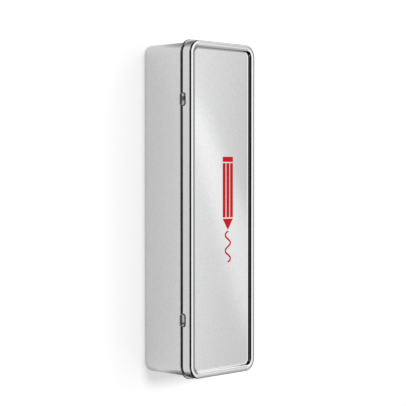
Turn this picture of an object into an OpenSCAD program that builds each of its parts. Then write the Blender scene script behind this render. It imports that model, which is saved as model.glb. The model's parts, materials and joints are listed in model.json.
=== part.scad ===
// Hinged tinplate box with a set of eighteen hexagonal colouring pencils.
// The closed tin lies on its base: X runs along it, Y from the opening side (-Y)
// to the hinge side (+Y), Z up. The origin is the middle of the face it rests on.

/* [Pencils] */
// Pencil width across its flats
pencil_flats = 7.2; // [6.6:0.1:8]
// Pencil length from blunt end to point
pencil_length = 178; // [150:1:200]
// Diameter of the coloured core
core_diameter = 3.3; // [2.6:0.1:4]
// Clearance between a core and its bore, each side
core_fit = 0.03; // [0.02:0.01:0.06]
// Length of the bare wood cone
cone_length = 14.5; // [11:0.5:18]
// Diameter of the blunted point
point_diameter = 0.7; // [0.4:0.1:1.2]
// Free width between two pencils of a layer
pencil_gap = 0.15; // [0.1:0.05:0.3]
// Free height between two layers
layer_gap = 0.05; // [0.03:0.01:0.15]

/* [Room in the tin] */
// Free length at each end of the pencils
end_play = 5; // [3:0.5:12]
// Free width at each side of the pencils
side_play = 0.7; // [0.5:0.1:4]
// Free height over the pencils, under the lid's panel
head_room = 13.8; // [7:0.1:30]

/* [Sheet] */
// Thickness of the tinplate
sheet = 0.3; // [0.25:0.01:0.35]
// Gap between the lid's skirt and the base's wall
lid_fit = 0.35; // [0.3:0.05:0.5]
// Plan radius of the lid's corners
corner_radius = 7.2; // [6.8:0.1:9]

/* [Lid] */
// Height of the lid from its rolled edge to its crest
lid_height = 7.9; // [6.5:0.1:8.5]
// Radius of the rolled edge
bead_radius = 0.6; // [0.55:0.05:0.8]
// Slit left open in the rolled edge, beside the skirt
bead_slit = 0.16; // [0.12:0.01:0.2]
// Radius of the edge between skirt and crest
edge_radius = 1; // [0.7:0.1:1.3]
// Width of the flat crest
crest_width = 1.3; // [0.6:0.1:1.6]
// Width of the slope between crest and panel
slope_width = 2.6; // [2.2:0.1:2.8]
// Depth of the panel below the crest
panel_depth = 1.6; // [1:0.1:1.8]

/* [Base] */
// Radius between floor and wall
floor_radius = 1.5; // [1:0.1:2.2]
// Width of the flat ring that the tin stands on, past the floor radius
foot_width = 2.4; // [1.8:0.1:3]
// Width of the step between the ring and the raised floor
step_width = 1.4; // [1.2:0.1:1.7]
// Height of the raised floor over the ring
floor_rise = 0.6; // [0.4:0.05:0.8]
// Radius of the rolled rim
rim_radius = 0.7; // [0.6:0.05:0.8]
// Gap between the rolled rim and the closed lid
rim_gap = 0.3; // [0.25:0.05:0.6]

/* [Hinge] */
// Distance from each end of the lid to the middle of its hinge
hinge_inset = 33; // [24:1:60]
// Width of each tongue
tongue_width = 6.4; // [5:0.1:9]
// Clearance at each side of a tongue in its slot
slot_play = 0.55; // [0.4:0.05:0.8]
// Height of each slot over the hinge axis
slot_height = 3.3; // [3:0.1:3.6]
// Radius of each slot's upper corners
slot_radius = 1.5; // [1:0.1:1.8]
// Gap between a tongue and the rolled edge that turns in it
tongue_gap = 0.15; // [0.12:0.01:0.2]
// Inner radius of the loop that takes a tongue out of the wall
tongue_loop = 0.65; // [0.55:0.05:0.7]
// Height of the middle of that loop over the hinge axis
loop_rise = 1.4; // [1.2:0.1:1.6]
// Turn of a tongue round the rolled edge, from its top
tongue_turn = 165; // [120:5:170]

/* [Hidden] */
$fn = 64;
eps = 0.01;

// Names and colours of the pencils, by layer from the floor up
LAYERS = [
    [["black", "#26262a"], ["grey", "#8c8e92"], ["umber", "#5b3a29"],
     ["brown", "#8a4b2a"], ["ochre", "#c8912f"], ["olive", "#7c8232"]],
    [["moss", "#4f7a36"], ["turquoise", "#1d9c9a"], ["sky", "#58b4e0"],
     ["ultramarine", "#2a3d9c"], ["violet", "#6c3a92"], ["pink", "#e87aa6"]],
    [["yellow", "#f6d21e"], ["orange", "#ef7f1a"], ["red", "#cf1f2a"],
     ["purple", "#9b2f78"], ["blue", "#1f5fb4"], ["green", "#1f8a4c"]],
];
across = 6;
PENCIL_NODES = [for (layer = LAYERS) for (p = layer) for (piece = ["casing", "core"])
    str(p[0], "_pencil_", piece)];

// Pencils
pencil_corners = pencil_flats / cos(30);
pencil_pitch = pencil_corners + pencil_gap;
layer_pitch = pencil_flats + layer_gap;
bore_diameter = core_diameter + 2 * core_fit;
cone_slope = (pencil_corners - bore_diameter) / 2 / cone_length;
point_length = (core_diameter - point_diameter) / 2 / cone_slope;
casing_length = pencil_length - point_length;
pencil_stack = len(LAYERS) * layer_pitch;

// Inside of the base, and the lid round it
inside_length = pencil_length + 2 * end_play;
inside_width = across * pencil_corners + (across - 1) * pencil_gap + 2 * side_play;
lid_length = inside_length + 2 * (2 * sheet + lid_fit);
lid_width = inside_width + 2 * (2 * sheet + lid_fit);
floor_top = floor_rise + sheet;
tin_height = floor_top + pencil_stack + head_room + sheet + panel_depth;

// The corners of both shells turn about the same four points
turn_x = lid_length / 2 - corner_radius;
turn_y = lid_width / 2 - corner_radius;
wall_out = corner_radius - sheet - lid_fit;
wall_in = wall_out - sheet;

// Hinge: the lid's rolled edge is the pin
bead_out = corner_radius - sheet + bead_radius;
axis_y = turn_y + bead_out;
axis_z = tin_height - lid_height + bead_radius;
hinge_x = lid_length / 2 - hinge_inset;
tongue_in = bead_radius + tongue_gap;
tongue_out = tongue_in + sheet;
// Distance from the loop's middle out to the axis, and the lean of the straight stretch
// that is tangent to the loop and to the wrapped part
loop_apart = bead_out - wall_out - tongue_loop;
tongue_lean = acos((tongue_loop - tongue_in) / norm([loop_apart, loop_rise])) - atan2(loop_rise, loop_apart);
slot_width = tongue_width + 2 * slot_play;

// Lid's pressed rim: the slope is two equal arcs that meet at their common tangent
crest_out = corner_radius - edge_radius;
crest_in = crest_out - crest_width;
slope_in = crest_in - slope_width;
panel_top = tin_height - panel_depth;

// Base's rolled rim and pressed floor
rim_out = wall_out - rim_radius;
rim_z = tin_height - sheet - rim_gap - rim_radius;
foot_in = wall_out - floor_radius - foot_width;
step_in = foot_in - step_width;

// Point well outside a ring, in the direction of an angle
function outside(centre, outer, angle) = centre + 2 * outer * [cos(angle), sin(angle)];

// Part of a ring inside a polygon that runs from the ring's centre round these corners
module ring_part(centre, outer, inner, corners) {
    intersection() {
        translate(centre) difference() {
            circle(r = outer);
            circle(r = inner);
        }
        polygon([centre, for (c = corners) c]);
    }
}

// Sector of a ring between two angles, in the profile's plane
module arc_strip(centre, outer, inner, from, to) {
    ring_part(centre, outer, inner,
        [for (part = [0:4]) outside(centre, outer, from + (to - from) * part / 4)]);
}

// Strip of sheet bounded by two distances outward and two heights
module strip(x0, x1, z0, z1) {
    polygon([[x0, z0], [x1, z0], [x1, z1], [x0, z1]]);
}

// Pressed step of the sheet from an outer to a lower inner height, as two equal arcs
// that share the line through their centres
module pressed_step(x_out, x_in, z_out, z_in) {
    drop = z_out - z_in;
    turn = 2 * atan2(drop, x_out - x_in);
    bend = (x_out - x_in) / 2 / sin(turn) + sheet / 2;
    crown = [x_out, drop - bend];
    hollow = [x_in, bend - sheet];
    clear = 2 * bend;
    translate([0, z_in]) {
        ring_part(crown, bend, bend - sheet, [[x_out, clear], [x_in, clear], hollow]);
        ring_part(hollow, bend, bend - sheet, [[x_in, -clear], [x_out, -clear], crown]);
    }
}

// Carries a profile round the tin, a quarter at a time; the profile's x runs outward
// from the corner's centre
module around() {
    for (end = [0, 1]) for (side = [0, 1]) mirror([end, 0, 0]) mirror([0, side, 0]) {
        translate([0, turn_y, 0]) rotate([90, 0, 90]) linear_extrude(turn_x) children();
        translate([turn_x, turn_y, 0]) {
            rotate([90, 0, 0]) linear_extrude(turn_y) children();
            rotate_extrude(angle = 90) children();
        }
    }
}

// Flat plate between the centres of the corners
module plate(z) {
    translate([0, 0, z]) linear_extrude(sheet)
        polygon([for (p = [[-1, -1], [1, -1], [1, 1], [-1, 1]]) [p[0] * turn_x, p[1] * turn_y]]);
}

module lid_profile() {
    slit_angle = acos((bead_radius - sheet - bead_slit) / bead_radius);
    bead_z = axis_z;
    arc_strip([bead_out, bead_z], bead_radius, bead_radius - sheet, 180, 360);
    arc_strip([bead_out, bead_z], bead_radius, bead_radius - sheet, 0, 180 - slit_angle);
    strip(corner_radius - sheet, corner_radius, bead_z, tin_height - edge_radius);
    arc_strip([crest_out, tin_height - edge_radius], edge_radius, edge_radius - sheet, 0, 90);
    strip(crest_in, crest_out, tin_height - sheet, tin_height);
    pressed_step(crest_in, slope_in, tin_height, panel_top);
    strip(0, slope_in, panel_top - sheet, panel_top);
}

// Slot through the lid's rear skirt, with its upper corners rounded
module slot_cut() {
    translate([0, turn_y + corner_radius + eps, axis_z]) rotate([90, 0, 0])
        linear_extrude(sheet + 2 * eps) union() {
            translate([-slot_width / 2, 0]) square([slot_width, slot_height - slot_radius]);
            translate([slot_radius - slot_width / 2, 0])
                square([slot_width - 2 * slot_radius, slot_height]);
            for (x = [-1, 1]) translate([x * (slot_width / 2 - slot_radius),
                slot_height - slot_radius]) circle(r = slot_radius);
        }
}

module lid_shell() {
    color("#c9cbcc") difference() {
        union() {
            around() lid_profile();
            plate(panel_top - sheet);
        }
        for (x = [-hinge_x, hinge_x]) translate([x, 0, 0]) slot_cut();
    }
}

module base_profile() {
    slit_angle = acos((rim_radius - sheet - bead_slit) / rim_radius);
    arc_strip([rim_out, rim_z], rim_radius, rim_radius - sheet, 0, 180);
    arc_strip([rim_out, rim_z], rim_radius, rim_radius - sheet, 180, 360 - slit_angle);
    strip(wall_in, wall_out, floor_radius, rim_z);
    arc_strip([wall_out - floor_radius, floor_radius], floor_radius, floor_radius - sheet, 270, 360);
    strip(foot_in, wall_out - floor_radius, 0, sheet);
    mirror([0, 1]) pressed_step(foot_in, step_in, 0, -floor_rise);
    strip(0, step_in, floor_rise, floor_top);
}

// Notch in the rear wall over a tongue, where its metal is folded out
module notch_cut() {
    translate([-slot_width / 2, turn_y + rim_out - rim_radius - eps, axis_z])
        cube([slot_width, 2 * rim_radius + 2 * eps, tin_height]);
}

// Tongue: up from the wall, over a loop through the lid's slot and round its rolled edge
module tongue() {
    axis = [0, 0];
    loop = [-loop_apart, loop_rise];
    loop_out = tongue_loop + sheet;
    lean_length = loop_apart * sin(tongue_lean) + loop_rise * cos(tongue_lean);
    translate([-tongue_width / 2, axis_y, axis_z]) rotate([90, 0, 90])
        linear_extrude(tongue_width) union() {
            strip(-loop_apart - loop_out, -loop_apart - tongue_loop, 0, loop_rise);
            arc_strip(loop, loop_out, tongue_loop, tongue_lean, 180);
            intersection() {
                rotate(tongue_lean) translate([tongue_in, -lean_length])
                    square([sheet, 3 * lean_length]);
                polygon([axis, outside(axis, tongue_out, tongue_lean),
                    outside(loop, loop_out, tongue_lean), loop]);
            }
            arc_strip(axis, tongue_out, tongue_in, tongue_lean, 90 - tongue_turn);
        }
}

module base_shell() {
    color("#c4c6c7") union() {
        difference() {
            union() {
                around() base_profile();
                plate(floor_rise);
            }
            for (x = [-hinge_x, hinge_x]) translate([x, 0, 0]) notch_cut();
        }
        for (x = [-hinge_x, hinge_x]) translate([x, 0, 0]) tongue();
    }
}

// Places a pencil by its layer and its column; pencils point towards +X
module in_layer(layer, column) {
    translate([-pencil_length / 2, (column - (across - 1) / 2) * pencil_pitch,
        floor_top + layer_gap + layer * layer_pitch + pencil_flats / 2])
        rotate([0, 90, 0]) children();
}

// Wooden casing: a hexagonal bar, bored for its core and sharpened to a cone
module pencil_casing() {
    difference() {
        intersection() {
            rotate(90) cylinder(d = pencil_corners, h = casing_length, $fn = 6);
            union() {
                cylinder(d = pencil_corners + 1, h = casing_length - cone_length);
                translate([0, 0, casing_length - cone_length])
                    cylinder(d1 = pencil_corners, d2 = bore_diameter + 2 * eps, h = cone_length);
            }
        }
        translate([0, 0, -1]) cylinder(d = bore_diameter, h = pencil_length);
    }
}

// Coloured core, from the blunt end to the point
module pencil_core() {
    cylinder(d = core_diameter, h = casing_length);
    translate([0, 0, casing_length])
        cylinder(d1 = core_diameter, d2 = point_diameter, h = point_length);
}

base_shell();
lid_shell();
for (layer = [0:len(LAYERS) - 1]) for (column = [0:across - 1]) {
    pencil = LAYERS[layer][column];
    color(pencil[1]) in_layer(layer, column) pencil_casing();
    color(pencil[1]) in_layer(layer, column) pencil_core();
}
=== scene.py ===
"""Dresses a hinged pencil tin: pressed shells, hinge tongues, a printed mark and eighteen pencils."""

import json
import math

import bmesh
import bpy
from mathutils import Matrix, Vector


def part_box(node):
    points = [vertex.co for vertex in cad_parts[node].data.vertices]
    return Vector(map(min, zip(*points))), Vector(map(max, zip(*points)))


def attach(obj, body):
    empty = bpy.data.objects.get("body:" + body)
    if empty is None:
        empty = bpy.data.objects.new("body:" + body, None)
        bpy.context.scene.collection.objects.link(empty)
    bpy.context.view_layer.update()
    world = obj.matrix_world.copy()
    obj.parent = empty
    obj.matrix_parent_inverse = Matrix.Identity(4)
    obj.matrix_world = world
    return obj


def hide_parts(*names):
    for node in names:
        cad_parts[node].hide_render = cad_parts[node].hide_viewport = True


bl_info = {
    "name": "Pencil Tin",
    "version": (1, 0, 0),
    "blender": (4, 5, 0),
    "location": "3D View > Sidebar > Pencil Tin",
    "description": "Dresses a hinged tin of colouring pencils with pressed shells and their finishes",
    "category": "Object",
}

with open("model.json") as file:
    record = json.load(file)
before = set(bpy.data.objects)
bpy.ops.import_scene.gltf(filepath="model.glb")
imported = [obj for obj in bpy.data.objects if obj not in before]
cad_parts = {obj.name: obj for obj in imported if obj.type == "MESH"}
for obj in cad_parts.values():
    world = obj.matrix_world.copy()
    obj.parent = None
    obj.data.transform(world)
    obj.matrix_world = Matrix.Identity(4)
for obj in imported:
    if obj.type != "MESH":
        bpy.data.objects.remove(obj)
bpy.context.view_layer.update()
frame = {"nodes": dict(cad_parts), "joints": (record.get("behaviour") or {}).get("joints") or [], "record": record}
MM = 0.001
# How far a cutter stands past the sheet that it cuts
OVERCUT = 0.02 * MM
# Faces that meet at more than this angle keep a sharp edge between them
SHARP = math.radians(32)

LID_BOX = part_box("lid_shell")
BASE_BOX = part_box("base_shell")
HINGE = Vector(frame["joints"][0]["pos_m"])
SLOT_COLOURS = {slot["slot"]: slot["base_color"] for slot in frame["record"]["materials"]}
CASINGS = sorted(node for node in frame["nodes"] if node.endswith("_casing"))
CORES = sorted(node for node in frame["nodes"] if node.endswith("_core"))


# Settings

def length_setting(name, description, default):
    return bpy.props.FloatProperty(
        name=name, description=description, default=default, unit="LENGTH", precision=5
    )


def angle_setting(name, description, degrees):
    return bpy.props.FloatProperty(
        name=name, description=description, default=math.radians(degrees), subtype="ANGLE"
    )


def colour_setting(name, description, default):
    return bpy.props.FloatVectorProperty(
        name=name, description=description, default=default, subtype="COLOR", min=0, max=1
    )


def share_setting(name, description, default):
    return bpy.props.FloatProperty(
        name=name, description=description, default=default, subtype="FACTOR", min=0, max=1
    )


class TinSheet(bpy.types.PropertyGroup):
    """Sizes that both shells share."""

    thickness: length_setting("Sheet thickness", "Thickness of the tinplate", 0.3 * MM)
    corner: length_setting("Corner radius", "Plan radius of the lid's corners", 7.2 * MM)
    slit: length_setting("Curl slit", "Slit left open in a rolled edge", 0.03 * MM)
    margin: length_setting("Flat margin", "Width kept flat beside a bend", 0.06 * MM)


class TinLid(bpy.types.PropertyGroup):
    """Sizes of the lid's pressed top."""

    bead: length_setting("Bead radius", "Radius of the rolled edge that the lid turns on", 0.6 * MM)
    edge: length_setting("Edge radius", "Radius between skirt and crest", 1.0 * MM)
    crest: angle_setting("Crest turn", "Half of the turn over the rounded crest", 12)
    reach: length_setting("Rim width", "Width from skirt to panel", 4.9 * MM)
    slope: length_setting("Slope width", "Width of the slope down to the panel", 2.6 * MM)
    depth: length_setting("Panel depth", "Depth of the panel below the crest", 1.6 * MM)
    crown: length_setting("Panel crown", "Rise of the panel in its middle", 0.05 * MM)


class TinBase(bpy.types.PropertyGroup):
    """Sizes of the base's wall, rim and pressed floor."""

    fit: length_setting("Lid fit", "Gap between the lid's skirt and the wall", 0.35 * MM)
    roll: length_setting("Rim radius", "Radius of the rolled rim", 0.7 * MM)
    rim_gap: length_setting("Rim gap", "Gap between the rolled rim and the lid", 0.3 * MM)
    heel: length_setting("Floor radius", "Radius between floor and wall", 1.5 * MM)
    foot: length_setting("Foot width", "Width of the flat ring it stands on", 2.4 * MM)
    step: length_setting("Step width", "Width of the step up to the floor", 1.4 * MM)
    rise: length_setting("Floor rise", "Height of the raised floor", 0.6 * MM)


class TinHinge(bpy.types.PropertyGroup):
    """Sizes of the two tongues and of the slots that they come out of."""

    inset: length_setting("Hinge inset", "From each end of the lid to a hinge", 33 * MM)
    width: length_setting("Tongue width", "Width of a tongue", 6.4 * MM)
    play: length_setting("Slot play", "Clearance beside a tongue", 0.55 * MM)
    height: length_setting("Slot height", "Height of a slot over the axis", 3.3 * MM)
    round: length_setting("Slot radius", "Radius of a slot's upper corners", 1.5 * MM)
    gap: length_setting("Tongue gap", "Gap round the lid's rolled edge", 0.15 * MM)
    loop: length_setting("Tongue loop", "Inner radius of the loop out of the wall", 0.65 * MM)
    rise: length_setting("Loop rise", "Height of the loop's middle over the axis", 1.4 * MM)
    turn: angle_setting("Tongue turn", "Turn of a tongue round the rolled edge", 165)


class TinMark(bpy.types.PropertyGroup):
    """Printed pencil mark on the panel."""

    start: length_setting("Mark start", "Place of the mark's blunt end along the tin", 30 * MM)
    length: length_setting("Mark length", "Length of the printed pencil", 42 * MM)
    width: length_setting("Mark width", "Width of the printed pencil", 8.6 * MM)
    middle: length_setting("Mark middle", "Place of the mark across the tin", -5.2 * MM)
    ink: length_setting("Ink height", "Height of the ink on the panel", 0.02 * MM)
    colour: colour_setting("Ink", "Colour of the print", (0.66, 0.0, 0.004))


class TinFinish(bpy.types.PropertyGroup):
    """Finish of the tinplate and of the pencils."""

    tin: colour_setting("Tin", "Colour of the satin tinplate", (0.73, 0.732, 0.735))
    mottle: share_setting("Mottle", "How much the tinplate's tone varies", 0.07)
    satin: share_setting("Satin", "Roughness of the tinplate", 0.065)
    wood: colour_setting("Wood", "Colour of the bare pencil wood", (0.60, 0.36, 0.20))
    grain: colour_setting("Grain", "Colour of the darker grain", (0.36, 0.19, 0.09))


class TinStudio(bpy.types.PropertyGroup):
    """Camera, floor and light."""

    stand: bpy.props.FloatVectorProperty(
        name="Camera place", description="Where the camera stands",
        default=(0.02106, 0.54615, 0.5437), subtype="TRANSLATION", unit="LENGTH",
    )
    turn: angle_setting("Camera turn", "Turn of the camera round the tin", 178.137)
    tilt: angle_setting("Camera tilt", "Height of the camera over the horizon", 43.675)
    lens: bpy.props.FloatProperty(
        name="Lens", description="Focal length on a 36 mm sensor", default=115.55
    )
    floor: colour_setting("Floor", "Colour of the pale floor", (0.62, 0.62, 0.62))
    white: share_setting("Backdrop", "Light of the floor itself where it is a backdrop", 0.55)
    glow: share_setting("Floor glow", "Light of the floor itself in the metal", 0.36)
    key: bpy.props.FloatProperty(
        name="Key light", description="Power of the soft lamp", default=13, unit="POWER"
    )


SETTINGS = {
    "tin_sheet": TinSheet,
    "tin_lid": TinLid,
    "tin_base": TinBase,
    "tin_hinge": TinHinge,
    "tin_mark": TinMark,
    "tin_finish": TinFinish,
    "tin_studio": TinStudio,
}


# Bent sheet

class BentSheet:
    """Middle line of a bent sheet in the plane of its profile: x runs outward, y up."""

    def __init__(self, start, heading):
        self.at = Vector(start)
        self.heading = math.radians(heading)
        self.spots = []
        self.mark()

    def mark(self):
        """Keeps the present spot, with the direction across the sheet to its left."""
        across = Vector((-math.sin(self.heading), math.cos(self.heading)))
        self.spots.append((self.at.copy(), across))

    def ahead(self, *lengths):
        """Runs straight on, with a spot after each length."""
        for length in lengths:
            self.at += Vector((math.cos(self.heading), math.sin(self.heading))) * length
            self.mark()

    def flat(self, length, margin):
        """Runs straight on, with a spot close to each end to keep the stretch flat."""
        self.ahead(margin, length - 2 * margin, margin)

    def turn(self, radius, degrees, step):
        """Turns on an arc, to the left, or to the right where degrees are negative."""
        count = max(2, math.ceil(abs(degrees) / step))
        part = math.radians(degrees) / count
        chord = 2 * radius * math.sin(abs(part) / 2)
        for _ in range(count):
            self.heading += part / 2
            self.at += Vector((math.cos(self.heading), math.sin(self.heading))) * chord
            self.heading += part / 2
            self.mark()

    def side(self, offset):
        """Points beside the middle line, at a distance to its left."""
        return [at + across * offset for at, across in self.spots]


class Course:
    """Closed course of a profile round the tin, and the grid of the plate inside it.

    A station of the course is a cell of the grid's border and the direction in which it faces.
    """

    corner_steps = 12

    def __init__(self, half_x, half_y, columns, rows, margin):
        self.xs = self.spread(half_x, columns, margin)
        self.ys = self.spread(half_y, rows, margin)
        last_x, last_y = len(self.xs) - 1, len(self.ys) - 1
        sides = [
            [(last_x, j) for j in range(last_y + 1)],
            [(i, last_y) for i in range(last_x, -1, -1)],
            [(0, j) for j in range(last_y, -1, -1)],
            [(i, 0) for i in range(last_x + 1)],
        ]
        self.stations = []
        for quarter, side in enumerate(sides):
            facing = math.radians(90 * quarter)
            self.stations += [(cell, facing) for cell in side[:-1]]
            self.stations += [
                (side[-1], facing + math.radians(90 * step / self.corner_steps))
                for step in range(self.corner_steps)
            ]

    @staticmethod
    def spread(half, count, margin):
        """Places from -half to half, with one more close to each end."""
        inner = [half * (2 * i / count - 1) for i in range(1, count)]
        return [-half, margin - half, *inner, half - margin, half]

    def place(self, station, outward):
        """Point at a distance outward from a station."""
        (i, j), facing = station
        return Vector((
            self.xs[i] + math.cos(facing) * outward,
            self.ys[j] + math.sin(facing) * outward,
        ))

    def sweep(self, mesh, profile):
        """Carries an open profile round the tin. Returns a ring of vertices for each point."""
        rings = [
            [mesh.verts.new((*self.place(station, point.x), point.y)) for station in self.stations]
            for point in profile
        ]
        for low, high in zip(rings, rings[1:]):
            for here in range(len(low)):
                after = (here + 1) % len(low)
                mesh.faces.new((low[here], low[after], high[after], high[here]))
        return rings

    def plate(self, mesh, ring, height):
        """Fills a ring with a plate whose height is a function of its place."""
        grid = [[mesh.verts.new((x, y, height(x, y))) for y in self.ys] for x in self.xs]
        for left, right in zip(grid, grid[1:]):
            for j in range(len(self.ys) - 1):
                mesh.faces.new((left[j], right[j], right[j + 1], left[j + 1]))
        for here in range(len(ring)):
            after = (here + 1) % len(ring)
            near, far = (grid[i][j] for i, j in (self.stations[here][0], self.stations[after][0]))
            corner = [ring[here], ring[after], far] + ([near] if near is not far else [])
            mesh.faces.new(corner)


def slab(mesh, layers):
    """Closed slab through layers, each a pair of point lists on the two sides of a sheet."""
    loops = []
    for one, other in layers:
        loops.append([mesh.verts.new(point) for point in [*one, *reversed(other)]])
    size = len(loops[0])
    for low, high in zip(loops, loops[1:]):
        for here in range(size):
            after = (here + 1) % size
            mesh.faces.new((low[here], low[after], high[after], high[here]))
    for loop in (loops[0], loops[-1]):
        for here in range(size // 2 - 1):
            mesh.faces.new((loop[here], loop[here + 1], loop[-2 - here], loop[-1 - here]))


def prism(mesh, outline, near, far):
    """Closed prism across the tin, from near to far, over an outline of places along it and up."""
    ends = [[mesh.verts.new((x, y, z)) for x, z in outline] for y in (near, far)]
    for end in ends:
        mesh.faces.new(end)
    for here in range(len(outline)):
        after = (here + 1) % len(outline)
        mesh.faces.new((ends[0][here], ends[0][after], ends[1][after], ends[1][here]))


def quarter_turn(start=0, steps=8):
    """Angles of a quarter turn from a start in degrees."""
    return [math.radians(start + 90 * step / steps) for step in range(steps + 1)]


def shade(data):
    """Shades a mesh smooth over all but its sharp edges."""
    data.polygons.foreach_set("use_smooth", [True] * len(data.polygons))
    data.set_sharp_from_angle(angle=SHARP)


def piece_from(mesh, name):
    """Object of a finished mesh."""
    bmesh.ops.recalc_face_normals(mesh, faces=mesh.faces)
    data = bpy.data.meshes.new(name)
    mesh.to_mesh(data)
    mesh.free()
    piece = bpy.data.objects.new(name, data)
    bpy.context.scene.collection.objects.link(piece)
    shade(data)
    return piece


def carve(piece, cutter):
    """Cuts a closed cutter out of a piece and removes the cutter."""
    cut = piece.modifiers.new("cut", "BOOLEAN")
    cut.operation, cut.solver, cut.object = "DIFFERENCE", "EXACT", cutter
    carved = bpy.data.meshes.new_from_object(
        piece.evaluated_get(bpy.context.evaluated_depsgraph_get())
    )
    piece.modifiers.clear()
    before = piece.data
    piece.data = carved
    carved.name = piece.name
    bpy.data.meshes.remove(before)
    bpy.data.meshes.remove(cutter.data)
    shade(carved)


# Places shared by the shells

class TinPlan:
    """Places that both shells share, worked out from the frame and the settings.

    Those of a bent sheet are its middle line's, outward from the centres of the corners.
    """

    columns, rows = 28, 8

    def __init__(self, scene):
        sheet, lid, base, hinge = scene.tin_sheet, scene.tin_lid, scene.tin_base, scene.tin_hinge
        self.half = sheet.thickness / 2
        self.skirt = sheet.corner - self.half
        self.curl = lid.bead - self.half
        self.top = LID_BOX[1].z
        self.wall = sheet.corner - sheet.thickness - base.fit - self.half
        self.half_x = BASE_BOX[1].x - self.wall - self.half
        self.half_y = -BASE_BOX[0].y - self.wall - self.half
        self.bead = self.skirt + self.curl
        self.roll = base.roll - self.half
        self.rim = self.wall - self.roll
        self.rim_height = self.top - sheet.thickness - base.rim_gap - base.roll
        self.bead_open, self.rim_open = (
            math.degrees(math.acos((radius - sheet.thickness - sheet.slit) / radius))
            for radius in (lid.bead, base.roll)
        )
        self.hinges = [side * (self.half_x + sheet.corner - hinge.inset) for side in (-1, 1)]
        self.slot_half = hinge.width / 2 + hinge.play
        self.course = Course(self.half_x, self.half_y, self.columns, self.rows, sheet.margin)

    def panel(self, scene, line):
        """Height of the lid panel's upper face by place. It meets the end of the bent rim."""
        lid, sheet = scene.tin_lid, scene.tin_sheet
        level = line.spots[-1][0].y + self.half
        inner = sheet.corner - lid.reach

        def height(x, y):
            across = 1 - (y / (self.half_y + inner)) ** 2
            along = 1 - (x / (self.half_x + inner)) ** 2
            return level + lid.crown * max(0, across) * max(0, along)

        return height


def lid_middle_line(plan, scene):
    """From the rolled edge's free end, round it, up the skirt, over the crest, down to the panel."""
    sheet, lid = scene.tin_sheet, scene.tin_lid
    slope_turn = 2 * math.atan2(lid.depth, lid.slope)
    bend = lid.slope / 2 / math.sin(slope_turn)
    edge = lid.edge - plan.half
    crest_sine = math.sin(lid.crest)
    level_run = (
        lid.reach - plan.half - edge * (1 - crest_sine)
        + bend * crest_sine - 2 * bend * math.sin(slope_turn)
    )
    crest = level_run / 2 / crest_sine
    crest_rise = edge * math.cos(lid.crest) + crest * (1 - math.cos(lid.crest))
    skirt_rise = plan.top - HINGE.z - plan.half - crest_rise
    crest_turn, slope_turn = math.degrees(lid.crest), math.degrees(slope_turn)
    free = math.radians(180 - plan.bead_open)
    start = (plan.bead + plan.curl * math.cos(free), HINGE.z + plan.curl * math.sin(free))
    line = BentSheet(start, math.degrees(free) - 90)
    line.turn(plan.curl, plan.bead_open - 360, step=12)
    line.flat(skirt_rise, sheet.margin)
    line.turn(edge, 90 - crest_turn, step=7)
    line.turn(crest, 2 * crest_turn, step=4)
    line.turn(bend, slope_turn - crest_turn, step=6)
    line.turn(bend, -slope_turn, step=6)
    line.ahead(sheet.margin)
    return line


def base_middle_line(plan, scene):
    """From the rolled rim's free end, down the wall, round the foot and up to the floor."""
    sheet, base = scene.tin_sheet, scene.tin_base
    heel = base.heel - plan.half
    step_turn = 2 * math.atan2(base.rise, base.step)
    bend = base.step / 2 / math.sin(step_turn)
    step_turn = math.degrees(step_turn)
    free = math.radians(360 - plan.rim_open)
    start = (plan.rim + plan.roll * math.cos(free), plan.rim_height + plan.roll * math.sin(free))
    line = BentSheet(start, math.degrees(free) - 90)
    line.turn(plan.roll, plan.rim_open - 360, step=12)
    line.flat(plan.rim_height - base.heel, sheet.margin)
    line.turn(heel, -90, step=9)
    line.flat(base.foot, sheet.margin)
    line.turn(bend, -step_turn, step=8)
    line.turn(bend, step_turn, step=8)
    line.ahead(sheet.margin)
    return line


def shell(plan, line, name, upper, lower):
    """Closed shell of bent sheet with a plate on each face."""
    mesh = bmesh.new()
    left, right = line.side(plan.half), line.side(-plan.half)
    rings = plan.course.sweep(mesh, [*reversed(left), *right])
    plan.course.plate(mesh, rings[0], lower)
    plan.course.plate(mesh, rings[-1], upper)
    return piece_from(mesh, name)


# Shader expressions

class Value:
    """Output of a shader node that takes part in Python arithmetic."""

    def __init__(self, tree, socket):
        self.tree, self.socket = tree, socket

    def math(self, operation, *operands):
        return self.tree.node("ShaderNodeMath", {"operation": operation}, dict(enumerate(operands)))

    def __add__(self, other):
        return self.math("ADD", self, other)

    def __radd__(self, other):
        return self.math("ADD", other, self)

    def __sub__(self, other):
        return self.math("SUBTRACT", self, other)

    def __rsub__(self, other):
        return self.math("SUBTRACT", other, self)

    def __mul__(self, other):
        return self.math("MULTIPLY", self, other)

    def __rmul__(self, other):
        return self.math("MULTIPLY", other, self)

    def __truediv__(self, other):
        return self.math("DIVIDE", self, other)

    def __rtruediv__(self, other):
        return self.math("DIVIDE", other, self)

    def __neg__(self):
        return self.math("MULTIPLY", self, -1)

    def __abs__(self):
        return self.math("ABSOLUTE", self)

    def root(self):
        return self.math("SQRT", self)

    def most(self, other):
        return self.math("MAXIMUM", self, other)

    def above(self, other):
        return self.math("GREATER_THAN", self, other)

    def angle(self, other):
        """Angle in radians of a direction whose rise is this value and whose run is the other."""
        return self.math("ARCTAN2", self, other)

    def rise(self, low, high, low_value=0, high_value=1):
        """Smooth step from low_value, at or before low, to high_value, at or past high."""
        return self.tree.node(
            "ShaderNodeMapRange", {"interpolation_type": "SMOOTHSTEP"},
            {"Value": self, "From Min": low, "From Max": high,
             "To Min": low_value, "To Max": high_value},
        )


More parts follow.
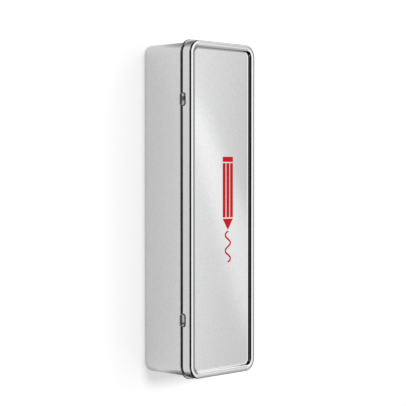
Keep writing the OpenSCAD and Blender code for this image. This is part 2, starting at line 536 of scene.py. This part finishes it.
class Tree:
    """Node tree of a material or of the world. Every node comes from its node method."""

    def __init__(self, owner):
        owner.use_nodes = True
        self.owner = owner
        self.tree = owner.node_tree
        self.tree.nodes.clear()

    def node(self, kind, settings=None, inputs=None, output=0):
        """Adds a node with its settings first, then the values or links of its sockets."""
        made = self.tree.nodes.new(kind)
        for name, value in (settings or {}).items():
            setattr(made, name, value)
        for name, value in (inputs or {}).items():
            if isinstance(value, Value):
                self.tree.links.new(value.socket, made.inputs[name])
            else:
                made.inputs[name].default_value = value
        return Value(self, made.outputs[output]) if made.outputs else None

    def place(self, kind="Object"):
        """Place on the piece in metres or, for the world, the Generated direction."""
        return self.node("ShaderNodeTexCoord", output=kind)

    def axes(self, place):
        """The three parts of a place, each a value."""
        split = self.node("ShaderNodeSeparateXYZ", None, {0: place})
        return [Value(self, output) for output in split.socket.node.outputs]

    def mix(self, factor, one, other):
        """Colour from one to another, through the mix node's sockets for colours."""
        sockets = {0: factor, 6: one, 7: other}
        return self.node("ShaderNodeMix", {"data_type": "RGBA"}, sockets, output=2)

    def noise(self, place, scale, detail=2, roughness=0.5, stretch=(1, 1, 1)):
        """Noise with so many features in a metre, drawn out where stretch is small."""
        stretched = self.node(
            "ShaderNodeVectorMath", {"operation": "MULTIPLY"}, {0: place, 1: stretch}
        )
        return self.node(
            "ShaderNodeTexNoise", None,
            {"Vector": stretched, "Scale": scale, "Detail": detail, "Roughness": roughness},
        )

    def grain(self, place):
        """Fine satin grain of the tinplate."""
        return self.noise(place, 2600, detail=3, roughness=0.7)

    def bump(self, height, distance):
        """Normal of a surface raised by up to a distance."""
        return self.node(
            "ShaderNodeBump", None, {"Height": height, "Distance": distance, "Strength": 1}
        )

    def surface(self, **inputs):
        """Ends the material in a principled surface whose sockets are named with underscores."""
        sockets = {name.replace("_", " "): value for name, value in inputs.items()}
        shader = self.node("ShaderNodeBsdfPrincipled", None, sockets)
        self.node("ShaderNodeOutputMaterial", None, {"Surface": shader})
        return self.owner


def opaque(colour, brightness=1):
    """Colour for a socket, made brighter or darker."""
    return (*(part * brightness for part in colour), 1)


def linear(colour):
    """Linear light of a display colour, by the standard display curve."""
    return [
        part / 12.92 if part < 0.04045 else ((part + 0.055) / 1.055) ** 2.4 for part in colour
    ]


# Materials

def satin_tinplate(name, finish):
    """Tin-coated sheet: a fine satin grain, a faint mottle and a slight ripple from pressing."""
    tree = Tree(bpy.data.materials.new(name))
    place = tree.place()
    grain = tree.grain(place)
    mottle = tree.noise(place, 700)
    cloud = tree.noise(place, 45, detail=1)
    ripple = tree.noise(place, 28, detail=0)
    tone = grain.rise(0.3, 0.7) * 0.55 + mottle.rise(0.3, 0.7) * 0.3 + cloud * 0.15
    dark, bright = 1 - finish.mottle, 1 + finish.mottle
    relief = (grain + ripple * 6) * 0.12
    return tree.surface(
        Base_Color=tree.mix(tone, opaque(finish.tin, dark), opaque(finish.tin, bright)),
        Metallic=1.0,
        Roughness=(cloud - 0.5) * 0.02 + (grain - 0.5) * 0.015 + finish.satin,
        Normal=tree.bump(relief, 0.008 * MM),
    )


def painted_highlight_tinplate(name, finish, height, dent):
    """Dulled tinplate with a painted highlight: paler and less metallic over a height, except between the ends of
    a dent.
    """
    tree = Tree(bpy.data.materials.new(name))
    place = tree.place()
    x, _, z = tree.axes(place)
    grain = tree.grain(place)
    middle, half = dent
    end_blur, height_blur = 0.1 * MM, 0.15 * MM
    beside = abs(x - middle).rise(half - end_blur, half + end_blur)
    # Painted highlight: over the height and outside the dent, the tin is painted paler, made less metallic and
    # made rougher
    highlight_mask = z.rise(height - height_blur, height + height_blur) * beside
    highlight_lift, dulled = 1.28, 1.8
    return tree.surface(
        Base_Color=tree.mix(highlight_mask, opaque(finish.tin), opaque(finish.tin, highlight_lift)),
        Metallic=0.75 - highlight_mask * 0.65,
        Roughness=(grain - 0.5) * 0.015 + highlight_mask * 0.3 + finish.satin * dulled,
        Normal=tree.bump(grain, 0.001 * MM),
    )


def printed_ink(name, colour):
    """Screen-printed ink with a soft gloss and a faint unevenness."""
    tree = Tree(bpy.data.materials.new(name))
    spread = tree.noise(tree.place(), 1800)
    return tree.surface(
        Base_Color=tree.mix(spread, opaque(colour, 0.93), opaque(colour)),
        Roughness=spread.rise(0.3, 0.7, 0.34, 0.42),
        Specular_IOR_Level=0.2,
        Normal=tree.bump(spread, 0.004 * MM),
    )


def bare_wood(tree, place, finish):
    """Colour and relief of cedar whose grain runs along the pencil."""
    rings = tree.noise(place, 900, detail=3, roughness=0.6, stretch=(0.05, 1, 1))
    fibres = tree.noise(place, 5200, stretch=(0.04, 1, 1))
    tone = rings.rise(0.35, 0.65) * 0.7 + fibres * 0.3
    colour = tree.mix(tone, opaque(finish.wood), opaque(finish.grain))
    return colour, tone


def pencil_casing(node, finish):
    """Lacquered wood, bare on the sharpened cone and at the blunt end."""
    low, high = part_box(node)
    colour = linear(SLOT_COLOURS[node.replace("_pencil_casing", "_lacquer")])
    tree = Tree(bpy.data.materials.new(node))
    place = tree.place()
    x, y, z = tree.axes(place)
    across, up = y - (low.y + high.y) / 2, z - (low.z + high.z) / 2
    radius = (across * across + up * up).root()
    corner = (high.y - low.y) / 2
    bore = 1.68 * MM
    cone = 14.5 * MM
    # Radius of the cone that the sharpener cuts. What lies inside it keeps its lacquer
    surface = (high.x - x) * ((corner - bore) / cone) + bore
    ragged = (tree.noise(place, 1500) - 0.5) * 0.12 * MM
    sharpened = (radius - surface + ragged).rise(-0.09 * MM, -0.04 * MM) * x.above(high.x - cone)
    blunt = 1 - x.rise(low.x + 0.02 * MM, low.x + 0.05 * MM)
    bare = sharpened.most(blunt)
    wood, grain = bare_wood(tree, place, finish)
    coat = tree.noise(place, 260, stretch=(0.3, 1, 1))
    lacquer = tree.mix(coat, opaque(colour, 0.94), opaque(colour))
    relief = bare * grain * 6 + (1 - bare) * coat
    return tree.surface(
        Base_Color=tree.mix(bare, lacquer, wood),
        Roughness=bare.rise(0, 1, 0.2, 0.62) + (coat - 0.5) * 0.05,
        Coat_Weight=(1 - bare) * 0.6,
        Coat_Roughness=0.08,
        Normal=tree.bump(relief, 0.006 * MM),
    )


def waxy_core(node):
    """Pressed pigment with a waxy, slightly streaked surface."""
    colour = linear(SLOT_COLOURS[node.replace("_pencil_core", "_core")])
    tree = Tree(bpy.data.materials.new(node))
    place = tree.place()
    speck = tree.noise(place, 2400, detail=3, roughness=0.65)
    streak = tree.noise(place, 2200, detail=1, stretch=(0.1, 1, 1))
    tone = speck * 0.6 + streak * 0.4
    return tree.surface(
        Base_Color=tree.mix(tone.rise(0.3, 0.7), opaque(colour, 0.8), opaque(colour)),
        Roughness=tone.rise(0.3, 0.7, 0.42, 0.6),
        Normal=tree.bump(tone, 0.02 * MM),
    )


# Pieces

def seat(piece, body, slot, material, *nodes):
    """Gives a piece its material and its body, and hides the CAD nodes that it stands for. The slot is not used.
    """
    piece.data.materials.clear()
    piece.data.materials.append(material)
    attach(piece, body)
    if nodes:
        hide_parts(*nodes)


class PENCIL_TIN_OT_lid(bpy.types.Operator):
    """Makes the lid: a rolled edge, a skirt with two slots, a rounded crest and a sunken panel"""

    bl_idname = "pencil_tin.lid"
    bl_label = "Lid Shell"

    def execute(self, context):
        scene = context.scene
        plan, hinge, sheet = TinPlan(scene), scene.tin_hinge, scene.tin_sheet
        line = lid_middle_line(plan, scene)
        panel = plan.panel(scene, line)
        lid = shell(plan, line, "tin_lid", panel, lambda x, y: panel(x, y) - sheet.thickness)
        cutter = bmesh.new()
        outer = plan.half_y + sheet.corner
        for middle in plan.hinges:
            outline = [(middle - plan.slot_half, HINGE.z), (middle + plan.slot_half, HINGE.z)]
            for side, start in ((1, 0), (-1, 90)):
                centre = middle + side * (plan.slot_half - hinge.round)
                for angle in quarter_turn(start):
                    outline.append((
                        centre + math.cos(angle) * hinge.round,
                        HINGE.z + hinge.height - hinge.round + math.sin(angle) * hinge.round,
                    ))
            prism(cutter, outline, outer - sheet.thickness - OVERCUT, outer + OVERCUT)
        carve(lid, piece_from(cutter, "slot_cutter"))
        finish = satin_tinplate("lid_tin", scene.tin_finish)
        seat(lid, "lid", "lid_tinplate", finish, "lid_shell")
        return {"FINISHED"}


class PENCIL_TIN_OT_base(bpy.types.Operator):
    """Makes the base: a rolled rim, walls notched over the hinges and a raised floor"""

    bl_idname = "pencil_tin.base"
    bl_label = "Base Shell"

    # How far a notch's cutter stands over the middle of the rim's sheet
    headroom = 1 * MM

    def execute(self, context):
        scene = context.scene
        plan = TinPlan(scene)
        line = base_middle_line(plan, scene)
        floor = line.spots[-1][0].y
        base = shell(
            plan, line, "tin_base",
            lambda x, y: floor - plan.half,
            lambda x, y: floor + plan.half,
        )
        cutter = bmesh.new()
        inner = plan.half_y + plan.rim - plan.roll - plan.half - OVERCUT
        outer = plan.half_y + plan.wall + plan.half + OVERCUT
        top = plan.rim_height + plan.roll + self.headroom
        for middle in plan.hinges:
            left, right = middle - plan.slot_half, middle + plan.slot_half
            outline = [(left, HINGE.z), (right, HINGE.z), (right, top), (left, top)]
            prism(cutter, outline, inner, outer)
        carve(base, piece_from(cutter, "notch_cutter"))
        finish = satin_tinplate("base_tin", scene.tin_finish)
        seat(base, "base", "base_tinplate", finish, "base_shell")
        return {"FINISHED"}


class PENCIL_TIN_OT_tongues(bpy.types.Operator):
    """Makes the two tongues that leave the wall and wrap round the lid's rolled edge"""

    bl_idname = "pencil_tin.tongues"
    bl_label = "Hinge Tongues"

    # Length below the hinge at which a tongue leaves the wall
    root = 0.05 * MM
    # Rise of a tongue's middle over its ends, all the way along and more on its top
    crown = 0.08 * MM
    dome = 0.2 * MM
    # Spots of the middle line over which the rise starts
    start_spots = 6
    round_end = 0.45 * MM
    inner_steps = 12
    # Least square of a round end's fullness, and the share of the sheet kept on the inner side
    least_end = 0.02
    inner_share = 0.98
    # Faces pressed on the loop: direction from the hinge side up, and distance from its middle
    top = (math.radians(82), 0.7 * MM)
    dent = (math.radians(48), 0.64 * MM)
    # How flat such a face is, 1 where quite flat, how far round it goes, and how far up it starts
    flatness = 0.85
    least_cosine = 0.3
    pressed_from = 0.4
    # Height over the hinge from which the loop's top carries a painted highlight, paler and less metallic
    highlight_height = 1.5 * MM
    # Place and half width of the dent that the crimping tool leaves in each tongue
    dents = {"low": (-1.6 * MM, 0.6 * MM), "high": (0.4 * MM, 1.3 * MM)}

    def middle_line(self, scene, plan):
        """Up from the wall, over a loop, and down round the rolled edge."""
        hinge = scene.tin_hinge
        wrap = scene.tin_lid.bead + hinge.gap + plan.half
        loop, rise = hinge.loop + plan.half, hinge.rise
        # The stretch between the loop and the wrap is tangent to both
        apart = plan.bead - plan.wall - loop
        lean = math.acos((loop - wrap) / math.hypot(apart, rise)) - math.atan2(rise, apart)
        line = BentSheet((plan.wall, HINGE.z - self.root), 90)
        line.ahead((rise + self.root) / 2, (rise + self.root) / 2)
        line.turn(loop, math.degrees(lean) - 180, step=8)
        line.flat(apart * math.sin(lean) + rise * math.cos(lean), scene.tin_sheet.margin)
        line.turn(wrap, math.degrees(math.pi / 2 - hinge.turn - lean), step=8)
        return line

    def pressed(self, radius, across, face):
        """How far a face pressed on the loop lies outside its round, 0 or less."""
        direction, distance = face
        away = math.atan2(across.y, across.x) - direction
        return min(0, distance * max(self.least_cosine, math.cos(away)) ** -self.flatness - radius)

    def layer(self, scene, plan, x, middle, line, dent):
        """Both sides of the tongue at a distance from its middle, thinned towards its ends."""
        half = scene.tin_hinge.width / 2
        radius = scene.tin_hinge.loop + 2 * plan.half
        place, size = dent
        into_end = max(0, abs(x) - (half - self.round_end)) / self.round_end
        fullness = math.sqrt(max(self.least_end, 1 - into_end ** 2))
        share = abs(x) / half
        dented = math.exp(-((x - place) / size) ** 4)
        outer, inner = [], []
        for index, (at, across) in enumerate(line.spots):
            started = min(1, index / self.start_spots)
            bulge = self.crown * (0.5 - share ** 4) + (
                self.dome * max(0, across.y) ** 2 * (0.25 - share ** 2)
            )
            sunk = 0
            if across.y > self.pressed_from:
                on_top = self.pressed(radius, across, self.top)
                sunk = on_top + (self.pressed(radius, across, self.dent) - on_top) * dented
            outward = at + across * (plan.half * (2 * fullness - 1) + bulge * started + sunk)
            inward = at - across * (plan.half * self.inner_share - sunk - min(0, bulge) * started)
            outer.append((middle + x, plan.half_y + outward.x, outward.y))
            inner.append((middle + x, plan.half_y + inward.x, inward.y))
        return outer, inner

    def execute(self, context):
        scene = context.scene
        plan = TinPlan(scene)
        line = self.middle_line(scene, plan)
        half = scene.tin_hinge.width / 2
        ends = [half - self.round_end * (1 - math.sin(angle)) for angle in quarter_turn()]
        inner = [
            (half - self.round_end) * (step / self.inner_steps - 1)
            for step in range(1, 2 * self.inner_steps)
        ]
        across = sorted([-x for x in ends] + ends + inner)
        for side, middle in zip(("low", "high"), plan.hinges):
            mesh = bmesh.new()
            slab(mesh, [
                self.layer(scene, plan, x, middle, line, self.dents[side]) for x in across
            ])
            tongue = piece_from(mesh, f"hinge_tongue_{side}")
            place, size = self.dents[side]
            # The tongue's finish paints a highlight over the top of its loop
            finish = painted_highlight_tinplate(
                f"tongue_tin_{side}", scene.tin_finish, HINGE.z + self.highlight_height, (middle + place, size)
            )
            seat(tongue, "base", "base_tinplate", finish)
        return {"FINISHED"}


class PENCIL_TIN_OT_mark(bpy.types.Operator):
    """Prints a plain pencil that draws a wavy line on the lid's panel"""

    bl_idname = "pencil_tin.mark"
    bl_label = "Printed Mark"

    facets = 3
    gap = 0.7 * MM
    # Shares of the drawn pencil's length, and of its half width left at the tip
    cap = 0.07
    cone = 0.17
    blunt = 0.01
    wave = 18 * MM
    wave_height = 2.1 * MM
    wave_turns = 2
    stroke = 1.1 * MM
    # Share of the ink's height that lies in the panel
    bed = 0.25

    def island(self, mesh, sections, height, ink):
        """Thin closed patch of ink through sections, each a place and its two edges."""
        layers = []
        for along, low, high in sections:
            under = [(along, edge, height(along, edge)) for edge in (low, high)]
            over = [(x, y, z + ink) for x, y, z in under]
            layers.append((under, over))
        slab(mesh, layers)

    def execute(self, context):
        scene = context.scene
        mark, plan = scene.tin_mark, TinPlan(scene)
        panel = plan.panel(scene, lid_middle_line(plan, scene))
        mesh = bmesh.new()

        def height(x, y):
            return panel(x, y) - mark.ink * self.bed

        def stripe(start, end, edges, steps):
            sections = []
            for step in range(steps + 1):
                share = step / steps
                low, high = edges(share)
                along = start + (end - start) * share
                sections.append((along, mark.middle + low, mark.middle + high))
            self.island(mesh, sections, height, mark.ink)

        half = mark.width / 2
        cap_end = mark.start - mark.length * self.cap
        body_start = cap_end - self.gap
        body_end = mark.start - mark.length * (1 - self.cone)
        cone_start = body_end - self.gap
        tip = mark.start - mark.length
        stripe(mark.start, cap_end, lambda share: (-half, half), steps=3)
        facet = (mark.width - (self.facets - 1) * self.gap) / self.facets
        for index in range(self.facets):
            low = -half + index * (facet + self.gap)
            stripe(body_start, body_end, lambda share, low=low: (low, low + facet), steps=10)

        def tapered(share):
            width = half * (1 + self.blunt - share)
            return -width, width

        stripe(cone_start, tip, tapered, steps=6)

        def drawn(share):
            """Edges of the wavy line, set apart so that its stroke stays even."""
            angle = 2 * math.pi * self.wave_turns * share
            slope = math.cos(angle) * 2 * math.pi * self.wave_turns * self.wave_height / self.wave
            reach = self.stroke / 2 * math.sqrt(1 + slope * slope)
            level = math.sin(angle) * self.wave_height
            return level - reach, level + reach

        stripe(tip - self.gap, tip - self.gap - self.wave, drawn, steps=64)
        print_piece = piece_from(mesh, "lid_print")
        seat(print_piece, "lid", "lid_tinplate", printed_ink("print_ink", mark.colour))
        return {"FINISHED"}


class PENCIL_TIN_OT_pencils(bpy.types.Operator):
    """Finishes the eighteen pencils: lacquer, bare sharpened wood and waxy cores"""

    bl_idname = "pencil_tin.pencils"
    bl_label = "Pencils"

    def coat(self, node, material):
        """Gives a pencil's piece its material in place of the plain one."""
        slots = frame["nodes"][node].data.materials
        slots.clear()
        slots.append(material)

    def execute(self, context):
        for node in CASINGS:
            self.coat(node, pencil_casing(node, context.scene.tin_finish))
        for node in CORES:
            self.coat(node, waxy_core(node))
        return {"FINISHED"}


class PENCIL_TIN_OT_stage(bpy.types.Operator):
    """Sets the pale floor, the soft studio light and the camera"""

    bl_idname = "pencil_tin.stage"
    bl_label = "Stage"

    # Lengths in metres, but for the camera's sensor in millimetres
    floor_half = 4
    floor_drop = 0.02 * MM
    lamp_place = (0.25, 0.12, 1.6)
    lamp_size = 0.35
    nearest, furthest = 0.01, 20
    sensor = 36
    # Light of the studio's window on top of the ceiling's
    window_light = 0.36

    def floor(self, studio):
        mesh = bmesh.new()
        bmesh.ops.create_grid(mesh, x_segments=4, y_segments=4, size=self.floor_half)
        floor = piece_from(mesh, "floor")
        floor.location.z = -self.floor_drop
        tree = Tree(bpy.data.materials.new("pale_floor"))
        seen, mirrored, through = (
            tree.node("ShaderNodeLightPath", output=output)
            for output in ("Is Camera Ray", "Is Glossy Ray", "Is Transmission Ray")
        )
        matt = tree.node("ShaderNodeBsdfDiffuse", None, {"Color": opaque(studio.floor)})
        glow = tree.node(
            "ShaderNodeEmission", None,
            {"Strength": seen * studio.white + mirrored.most(through) * studio.glow},
        )
        both = tree.node("ShaderNodeAddShader", None, {0: matt, 1: glow})
        # The metal sees a pool of light that ends a little way off the hinge side and, in two
        # steps and on slanted lines, off both ends
        x, y, _ = tree.axes(tree.place())
        sideways = abs(x) - y.most(-0.04) * 0.6
        ends = sideways.rise(0.088, 0.106) * x.rise(-0.01, 0.01, 0.62, 0.42)
        faded = (ends + sideways.rise(0.104, 0.118) * 0.3).most(y.rise(0.066, 0.072))
        dark = tree.node("ShaderNodeBsdfDiffuse", None, {"Color": opaque((0, 0, 0))})
        surface = tree.node("ShaderNodeMixShader", None, {0: mirrored * faded, 1: both, 2: dark})
        tree.node("ShaderNodeOutputMaterial", None, {"Surface": surface})
        floor.data.materials.append(tree.owner)

    def sky(self, scene):
        """Soft light by direction: bright overhead, dim far off, dark on the hinge side."""
        scene.world = bpy.data.worlds.new("studio")
        tree = Tree(scene.world)
        x, y, z = tree.axes(tree.place("Generated"))
        # Turn in degrees about the tin's long axis, from the hinge side's horizon over the top
        turn = z.angle(y) * math.degrees(1)
        side = abs(x)
        # The studio is dark up to this turn, which grows towards both ends of the tin
        shade = side.rise(0.2, 0.5, 93, 116) + side.rise(0.68, 0.8, 0, 60)
        lit = (turn - shade).rise(-4, 4)
        # The ceiling is brightest overhead and over the pencils' points, and weaker far off the ends
        ceiling = turn.rise(128, 148, 1.6, 0.45) * (x * 0.37 + 1) * side.rise(0.4, 0.65, 1, 0.62)
        # Low on the far side more light comes from beyond the ends, most of it past the points
        low = turn.rise(138, 152) * (x.rise(0.25, 0.55, 0, 1.3) + (-x).rise(0.25, 0.55, 0, 0.35))
        # Window in the slanted plane that the lid's panel shows
        slant_x, slant_y = x / z, y / z
        window = (
            (slant_x - slant_y * 2).rise(2.05, 2.09)
            * (slant_y * 1.17 - slant_x).rise(-1.302, -1.262)
            * turn.rise(125, 130) * z.above(0.3)
        )
        # A dim wall stands low behind the hinge side, least dim between its middle and its ends
        dim = turn.rise(4, 12) * (1 - turn.rise(34, 50)) * (
            side.rise(0.2, 0.4, 0.07, 0.3) - side.rise(0.6, 0.8, 0, 0.3)
        )
        light = lit * (ceiling + low + window * self.window_light) + dim
        seen = tree.node("ShaderNodeLightPath", output="Is Camera Ray")
        background = tree.node(
            "ShaderNodeBackground", None, {"Strength": light * (1 - seen) + seen}
        )
        tree.node("ShaderNodeOutputWorld", None, {"Surface": background})

    def lamp(self, scene, studio):
        light = bpy.data.lights.new("key", "AREA")
        light.energy, light.size = studio.key, self.lamp_size
        lamp = bpy.data.objects.new("key", light)
        lamp.location = self.lamp_place
        lamp.visible_glossy = False
        lamp.rotation_euler = (-lamp.location).to_track_quat("-Z", "Y").to_euler()
        scene.collection.objects.link(lamp)

    def camera(self, scene, studio):
        turn, tilt = studio.turn, studio.tilt
        back = Vector((
            math.sin(turn) * math.cos(tilt), -math.cos(turn) * math.cos(tilt), math.sin(tilt)
        ))
        right = Vector((1, 0, 0)).cross(back).normalized()
        up = back.cross(right)
        data = bpy.data.cameras.new("camera")
        data.sensor_width, data.lens = self.sensor, studio.lens
        data.clip_start, data.clip_end = self.nearest, self.furthest
        camera = bpy.data.objects.new("camera", data)
        camera.matrix_world = Matrix.Translation(studio.stand) @ Matrix(
            (right, up, back)
        ).transposed().to_4x4()
        scene.collection.objects.link(camera)
        scene.camera = camera

    def execute(self, context):
        scene = context.scene
        self.floor(scene.tin_studio)
        self.sky(scene)
        self.lamp(scene, scene.tin_studio)
        self.camera(scene, scene.tin_studio)
        scene.view_settings.view_transform = "Standard"
        return {"FINISHED"}


OPERATORS = (
    PENCIL_TIN_OT_stage,
    PENCIL_TIN_OT_lid,
    PENCIL_TIN_OT_base,
    PENCIL_TIN_OT_tongues,
    PENCIL_TIN_OT_mark,
    PENCIL_TIN_OT_pencils,
)


class VIEW3D_PT_pencil_tin(bpy.types.Panel):
    """Lists the tin's operators and settings"""

    bl_label = "Pencil Tin"
    bl_space_type = "VIEW_3D"
    bl_region_type = "UI"
    bl_category = "Pencil Tin"

    def draw(self, context):
        for operator in OPERATORS:
            self.layout.operator(operator.bl_idname)
        for name, group in SETTINGS.items():
            box = self.layout.box()
            for setting in group.__annotations__:
                box.prop(getattr(context.scene, name), setting)


def register():
    for group in SETTINGS.values():
        bpy.utils.register_class(group)
    for name, group in SETTINGS.items():
        setattr(bpy.types.Scene, name, bpy.props.PointerProperty(type=group))
    for operator in OPERATORS:
        bpy.utils.register_class(operator)
    bpy.utils.register_class(VIEW3D_PT_pencil_tin)


def unregister():
    bpy.utils.unregister_class(VIEW3D_PT_pencil_tin)
    for operator in reversed(OPERATORS):
        bpy.utils.unregister_class(operator)
    for name, group in SETTINGS.items():
        delattr(bpy.types.Scene, name)
        bpy.utils.unregister_class(group)


def main():
    register()
    for operator in OPERATORS:
        group, name = operator.bl_idname.split(".")
        getattr(getattr(bpy.ops, group), name)()


if __name__ == "__main__":
    main()
